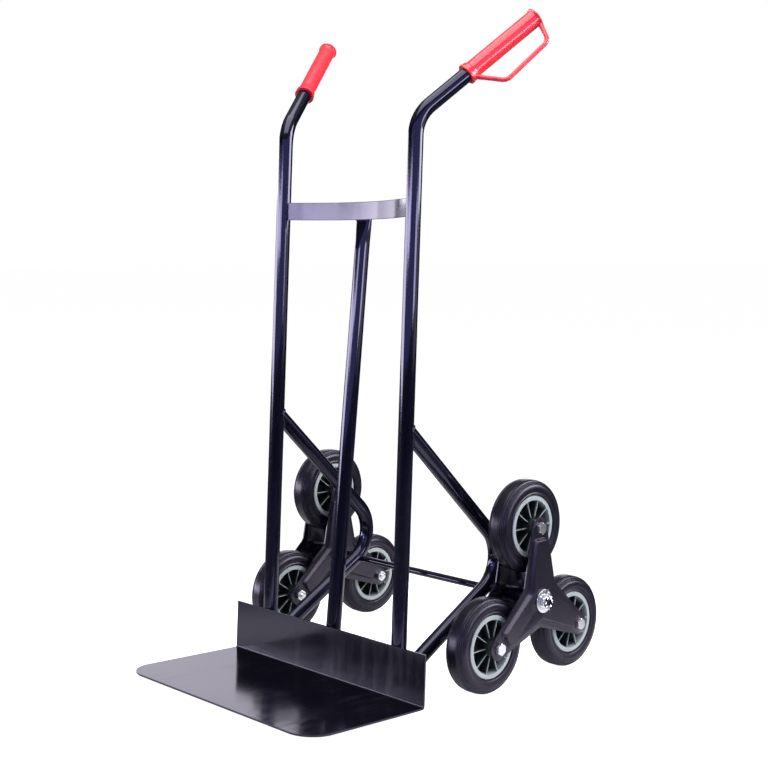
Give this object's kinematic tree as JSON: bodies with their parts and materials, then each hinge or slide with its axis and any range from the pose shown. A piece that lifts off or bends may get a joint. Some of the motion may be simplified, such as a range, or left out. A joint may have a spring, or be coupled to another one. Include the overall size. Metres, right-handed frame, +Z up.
{
  "type": "stair-climbing hand truck",
  "caption": "Upright hand truck with a tubular frame, folded toe plate, guarded hand grips and free-turning wheel clusters that walk up steps.",
  "frame": {"origin": "on the floor, at the centre of the part's footprint", "axes": "+Z up, -Y toward the toe plate's front edge, +X to the right hand of a person who stands behind the truck and faces the load"},
  "size_m": [0.5816, 0.6394, 1.0847],
  "materials": {
    "black_paint": "glossy black powder coat with a faint blue-violet sheen",
    "red_plastic": "smooth moulded red plastic",
    "tyre_rubber": "matt black solid rubber",
    "rim_plastic": "satin grey-green moulded plastic",
    "zinc_plate": "bright zinc plating"
  },
  "bodies": {
    "frame": {"toe_plate": "black_paint", "crossbar": "black_paint", "centre_tube": "black_paint", "axle": "black_paint", "side_tube_left": "black_paint", "wheel_brace_left": "black_paint", "grip_left": "red_plastic", "axle_spacer_left": "black_paint", "axle_washer_left": "zinc_plate", "castle_nut_left": "zinc_plate", "split_pin_left": "zinc_plate", "side_tube_right": "black_paint", "wheel_brace_right": "black_paint", "grip_right": "red_plastic", "axle_spacer_right": "black_paint", "axle_washer_right": "zinc_plate", "castle_nut_right": "zinc_plate", "split_pin_right": "zinc_plate"},
    "cluster_left": {"star_plate_outer_left": "black_paint", "star_plate_inner_left": "black_paint", "hub_tube_left": "black_paint", "wheel_sleeve_left_top": "zinc_plate", "wheel_bolt_left_top": "zinc_plate", "wheel_nut_left_top": "zinc_plate", "wheel_sleeve_left_rear": "zinc_plate", "wheel_bolt_left_rear": "zinc_plate", "wheel_nut_left_rear": "zinc_plate", "wheel_sleeve_left_front": "zinc_plate", "wheel_bolt_left_front": "zinc_plate", "wheel_nut_left_front": "zinc_plate"},
    "cluster_right": {"star_plate_outer_right": "black_paint", "star_plate_inner_right": "black_paint", "hub_tube_right": "black_paint", "wheel_sleeve_right_top": "zinc_plate", "wheel_bolt_right_top": "zinc_plate", "wheel_nut_right_top": "zinc_plate", "wheel_sleeve_right_rear": "zinc_plate", "wheel_bolt_right_rear": "zinc_plate", "wheel_nut_right_rear": "zinc_plate", "wheel_sleeve_right_front": "zinc_plate", "wheel_bolt_right_front": "zinc_plate", "wheel_nut_right_front": "zinc_plate"},
    "wheel_left_top": {"tyre_left_top": "tyre_rubber", "rim_left_top": "rim_plastic"},
    "wheel_left_rear": {"tyre_left_rear": "tyre_rubber", "rim_left_rear": "rim_plastic"},
    "wheel_left_front": {"tyre_left_front": "tyre_rubber", "rim_left_front": "rim_plastic"},
    "wheel_right_top": {"tyre_right_top": "tyre_rubber", "rim_right_top": "rim_plastic"},
    "wheel_right_rear": {"tyre_right_rear": "tyre_rubber", "rim_right_rear": "rim_plastic"},
    "wheel_right_front": {"tyre_right_front": "tyre_rubber", "rim_right_front": "rim_plastic"}
  },
  "joints": [
    {"name": "cluster_left_turn", "type": "hinge", "parent": "frame", "child": "cluster_left", "pos_m": [-0.239, 0.14258, 0.1341], "axis": [1, 0, 0], "continuous": true},
    {"name": "cluster_right_turn", "type": "hinge", "parent": "frame", "child": "cluster_right", "pos_m": [0.239, 0.14258, 0.1341], "axis": [1, 0, 0], "continuous": true},
    {"name": "wheel_left_top_spin", "type": "hinge", "parent": "cluster_left", "child": "wheel_left_top", "pos_m": [-0.239, 0.14258, 0.2516], "axis": [1, 0, 0], "continuous": true},
    {"name": "wheel_left_rear_spin", "type": "hinge", "parent": "cluster_left", "child": "wheel_left_rear", "pos_m": [-0.239, 0.24434, 0.07535], "axis": [1, 0, 0], "continuous": true},
    {"name": "wheel_left_front_spin", "type": "hinge", "parent": "cluster_left", "child": "wheel_left_front", "pos_m": [-0.239, 0.04083, 0.07535], "axis": [1, 0, 0], "continuous": true},
    {"name": "wheel_right_top_spin", "type": "hinge", "parent": "cluster_right", "child": "wheel_right_top", "pos_m": [0.239, 0.14258, 0.2516], "axis": [1, 0, 0], "continuous": true},
    {"name": "wheel_right_rear_spin", "type": "hinge", "parent": "cluster_right", "child": "wheel_right_rear", "pos_m": [0.239, 0.24434, 0.07535], "axis": [1, 0, 0], "continuous": true},
    {"name": "wheel_right_front_spin", "type": "hinge", "parent": "cluster_right", "child": "wheel_right_front", "pos_m": [0.239, 0.04083, 0.07535], "axis": [1, 0, 0], "continuous": true}
  ]
}
